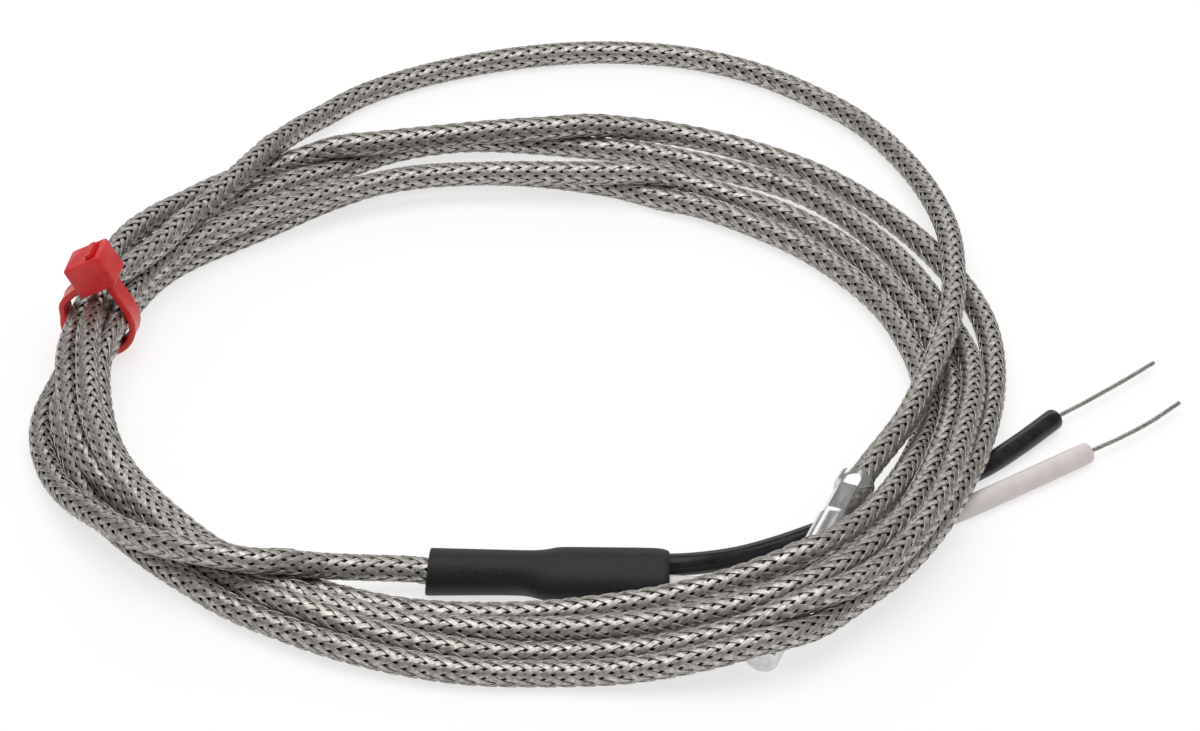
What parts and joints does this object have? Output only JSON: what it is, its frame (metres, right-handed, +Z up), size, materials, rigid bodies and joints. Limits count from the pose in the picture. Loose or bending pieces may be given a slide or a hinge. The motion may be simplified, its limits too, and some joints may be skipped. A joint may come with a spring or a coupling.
{
  "type": "tube thermocouple",
  "caption": "Slim steel tube probe for measuring temperature, crimped onto a metal-braided lead that is wound into a tied coil and ends in sleeved bare tails.",
  "frame": {"origin": "on the floor under the middle of the probe sheath", "axes": "+Y along the probe from its closed tip to its crimped mouth, +Z up from the floor, +X to the right of the probe seen from the tip"},
  "size_m": [0.1592, 0.166, 0.0179],
  "materials": {
    "polished_steel": "polished drawn stainless steel",
    "bead_alloy": "dull welded bead",
    "positive_alloy": "bright drawn wire",
    "negative_alloy": "bright drawn wire",
    "white_ceramic": "matt fired ceramic",
    "glass_fibre": "woven glass fibre",
    "steel_braid": "bare woven metal wire",
    "red_nylon": "satin moulded nylon",
    "black_heat_shrink": "matt shrunk sleeve",
    "black_sleeving": "glossy soft sleeving",
    "white_sleeving": "satin soft sleeving, faintly warm",
    "tail_wire": "bare drawn wire"
  },
  "bodies": {
    "root": {"probe_sheath": "polished_steel", "measuring_junction": "bead_alloy", "positive_element_wire": "positive_alloy", "negative_element_wire": "negative_alloy", "ceramic_insulator": "white_ceramic", "positive_core_sleeving": "glass_fibre", "negative_core_sleeving": "glass_fibre", "lead_coil": "steel_braid", "lead_outer_loop": "steel_braid", "lead_start_run": "steel_braid", "cable_tie": "red_nylon", "heat_shrink_sleeve": "black_heat_shrink", "black_sleeve": "black_sleeving", "white_sleeve": "white_sleeving", "black_tail_wire": "tail_wire", "white_tail_wire": "tail_wire"}
  },
  "joints": []
}
